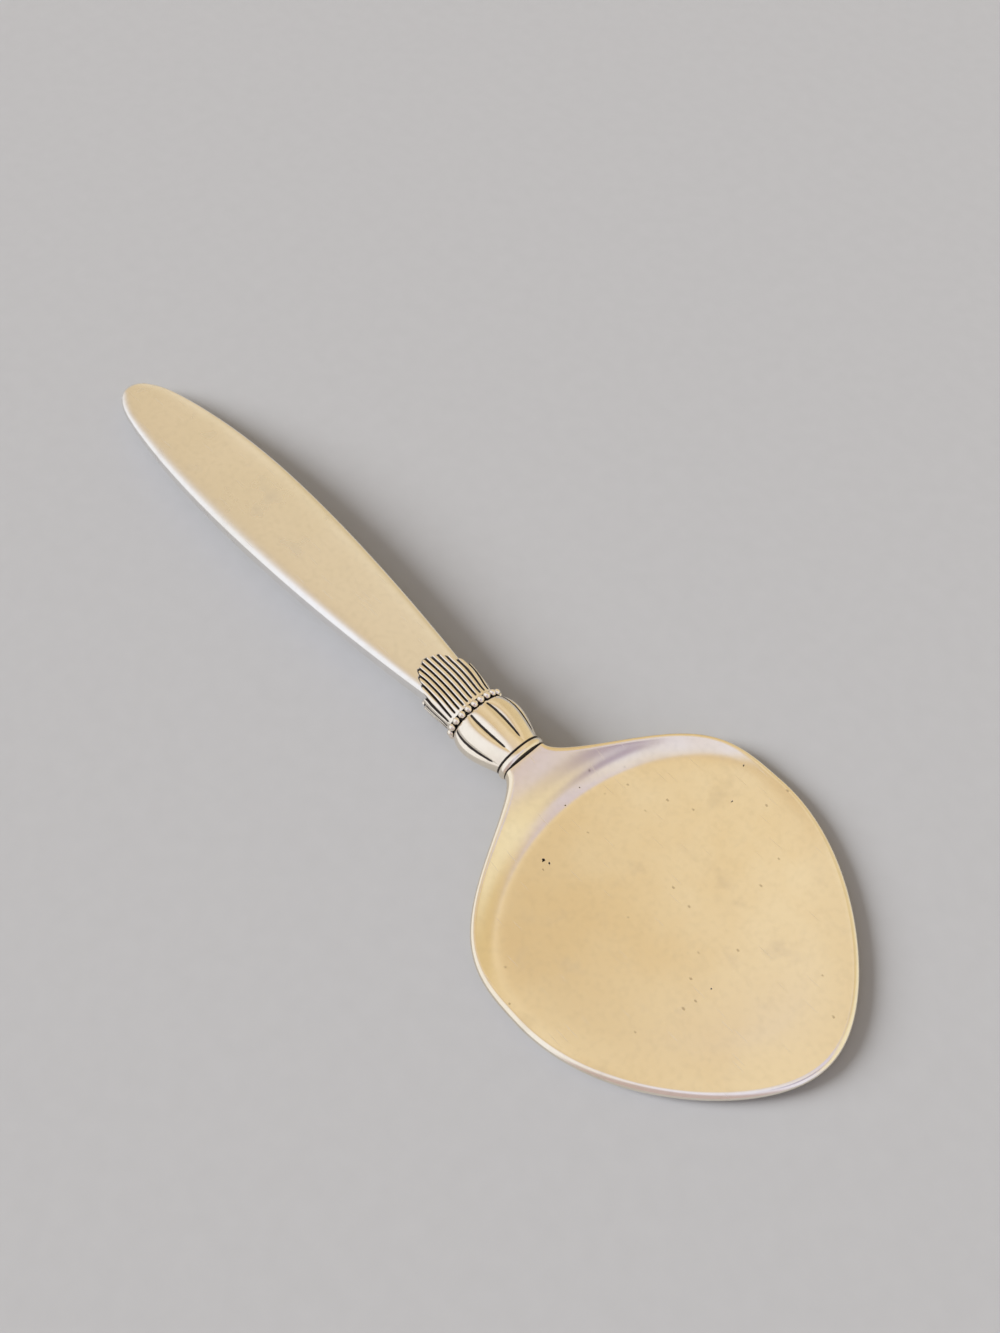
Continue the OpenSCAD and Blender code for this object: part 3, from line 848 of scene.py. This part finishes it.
# Tones of the sky against the direction's y, behind the server and ahead of it
SKY_BEHIND = (
    (-0.40, (0.97, 0.98, 1.12, 1)),
    (-0.10, (0.97, 0.95, 1.00, 1)),
    (0.05, (0.80, 0.745, 0.72, 1)),
    (0.18, (0.70, 0.54, 0.32, 1)),
    (0.42, (0.90, 0.78, 0.59, 1)),
    (0.72, (0.71, 0.574, 0.36, 1)),
    (1.00, (0.80, 0.68, 0.46, 1)),
)
SKY_AHEAD = (
    (-0.30, (0.56, 0.46, 0.48, 1)),
    (-0.08, (0.86, 0.87, 1.08, 1)),
    (0.12, (0.82, 0.83, 1.00, 1)),
    (0.20, (0.86, 0.82, 0.84, 1)),
    (0.32, (0.75, 0.68, 0.62, 1)),
    (0.42, (0.74, 0.58, 0.32, 1)),
    (1.00, (0.80, 0.68, 0.46, 1)),
)
# Stretches of the direction's x over which the first gives way to the second and the first's tint changes
SKY_TURN = (-0.08, 0.02)
SKY_TINT_RUN = (-0.27, -0.06)
SKY_TINTS = ((0.97, 0.95, 0.90, 1), (1.05, 1.04, 0.99, 1))
# Soft patches of the sky: a tone and its edges, each an axis and the places where it starts and is full
SKY_WINDOW = (0.98, 0.99, 1.04, 1)
SKY_LILAC = (0.65, 0.66, 1.20, 1)
SKY_DUSK = (0.42, 0.36, 0.52, 1)
SKY_YELLOW = (0.92, 0.84, 0.64, 1)
SKY_PATCHES = (
    (SKY_WINDOW, (("Y", -0.05, -0.25), ("X", 0.30, 0.10))),
    (SKY_LILAC, (("X", -0.04, 0.06), ("X", 0.56, 0.42), ("Y", 0.285, 0.325), ("Y", 0.38, 0.35))),
    (SKY_DUSK, (("X", 0.42, 0.56), ("X", 0.71, 0.64), ("Y", 0.29, 0.25), ("Y", -0.08, 0.04))),
    (SKY_YELLOW, (("X", 0.17, 0.52), ("Y", 0.37, 0.405))),
    (SKY_YELLOW, (("X", 0.08, 0.36), ("Y", 0.37, 0.40), ("Y", 0.48, 0.43))),
    (SKY_YELLOW, (("X", 0.63, 0.71), ("Y", 0.20, 0.26))),
)
SKY_DIFFUSE = 0.55
LAMP_TOWARD = Vector((-0.68, -0.62, 0.38))
LAMP_STRENGTH = 5.5
LAMP_ANGLE = math.radians(28)
LAMP_TONE = (0.92, 0.95, 1.0)


def make_floor():
    material, tree, shader, place = new_material("floor_paint")
    shader.inputs["Roughness"].default_value = FLOOR_ROUGH
    tone = blend(tree, noise(tree, place, FLOOR_SCALE), *FLOOR_TONES)
    tree.links.new(tone, shader.inputs["Base Color"])
    mesh = bpy.data.meshes.new("floor")
    half = FLOOR_SIZE / 2
    corners = [(-half, -half, 0), (half, -half, 0), (half, half, 0), (-half, half, 0)]
    mesh.from_pydata(corners, [], [(0, 1, 2, 3)])
    mesh.materials.append(material)
    floor = bpy.data.objects.new("floor", mesh)
    bpy.context.scene.collection.objects.link(floor)


def sky_tones(tree, y, tones):
    """Colour ramp over the direction's y."""
    share = calc(tree, "ADD", calc(tree, "MULTIPLY", y, 0.5), 0.5)
    colours = add(tree, "ShaderNodeValToRGB", {"Fac": share})
    stops = colours.color_ramp.elements
    while len(stops) < len(tones):
        stops.new(1.0)
    for stop, (place, tone) in zip(stops, tones):
        stop.position = (place + 1) / 2
        stop.color = tone
    return colours.outputs["Color"]


def make_sky():
    """Soft studio dome: warm behind the server, cool ahead of it, with a few soft patches of other tones.
    It lights matt surfaces less, so that the lamp's shadow shows."""
    world = bpy.data.worlds.new("studio")
    world.use_nodes = True
    tree = world.node_tree
    tree.nodes.clear()
    direction = add(tree, "ShaderNodeTexCoord").outputs["Generated"]
    toward = add(tree, "ShaderNodeSeparateXYZ", {"Vector": direction}).outputs
    behind = sky_tones(tree, toward["Y"], SKY_BEHIND)
    ahead = sky_tones(tree, toward["Y"], SKY_AHEAD)
    tint = blend(tree, ramp(tree, toward["X"], *SKY_TINT_RUN), *SKY_TINTS)
    tinted = add(tree, "ShaderNodeVectorMath", {0: behind, 1: tint}, operation="MULTIPLY").outputs[0]
    colour = blend(tree, ramp(tree, toward["X"], *SKY_TURN), tinted, ahead)
    for tone, edges in SKY_PATCHES:
        share = 1.0
        for axis, start, full in edges:
            share = calc(tree, "MULTIPLY", share, ramp(tree, toward[axis], start, full))
        colour = blend(tree, share, colour, tone)
    path = add(tree, "ShaderNodeLightPath").outputs
    strength = ramp(tree, path["Is Diffuse Ray"], 0.0, 1.0, 1.0, SKY_DIFFUSE)
    sky = add(tree, "ShaderNodeBackground", {"Color": colour, "Strength": strength})
    add(tree, "ShaderNodeOutputWorld", {"Surface": sky.outputs[0]})
    bpy.context.scene.world = world


def make_lamp():
    """Far soft lamp, which gives the floor its shadow. The dome gives the reflections."""
    light = bpy.data.lights.new("window", "SUN")
    light.energy = LAMP_STRENGTH
    light.angle = LAMP_ANGLE
    light.color = LAMP_TONE
    lamp = bpy.data.objects.new("window", light)
    lamp.visible_glossy = False
    lamp.location = LAMP_TOWARD
    lamp.rotation_euler = (-LAMP_TOWARD).to_track_quat("-Z", "Y").to_euler()
    bpy.context.scene.collection.objects.link(lamp)


# Assembly
# Places of the blade's pits: u, v and radius in millimetres
PIT_PLACES = (
    (124.8, 0.3, 0.10),
    (129.3, -8.9, 0.24),
    (130.4, -8.6, 0.08),
    (142.4, 20.5, 0.10),
    (139.4, 26.6, 0.06),
    (124.2, 4.0, 0.03),
    (147.3, -16.5, 0.02),
    (160.9, -4.7, 0.03),
)


def on_blade(u, v):
    """Place on the blade's top at u and v in millimetres."""
    return tuple(blade_points(np.array(u * MM), np.array(v * MM), 1))


def main():
    make_camera()
    make_floor()
    make_sky()
    make_lamp()
    marks = [(on_blade(u, v), r * MM) for u, v, r in PIT_PLACES]
    paler = (blade_low.x, blade_high.x)
    blade_silver = silver("blade_silver", BLADE_TONES, roughness=0.17, wave=0.08 * MM, oxide_edge=0.3,
                          paler=paler, fleck_share=0.5, pit_places=marks)
    handle_silver = silver("handle_silver", HANDLE_TONES, roughness=0.23, wave=0.04 * MM, oxide_edge=0.3)
    ornament_silver = silver("ornament_silver", ORNAMENT_TONES, roughness=0.18, wave=0.0, oxide_edge=0.5)
    make_shell("handle_upper_shell", "handle_front", handle_silver, 0)
    make_shell("handle_lower_shell", "handle_back", handle_silver, math.pi)
    make_ferrule(ornament_silver)
    make_beads(ornament_silver)
    make_collar(ornament_silver)
    make_blade(blade_silver)
    for node, material in (("tang", drawn_steel()), ("handle_filler", cast_cement())):
        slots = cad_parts[node].data.materials
        slots.clear()
        slots.append(material)
    bpy.context.scene.view_settings.view_transform = "Standard"


main()
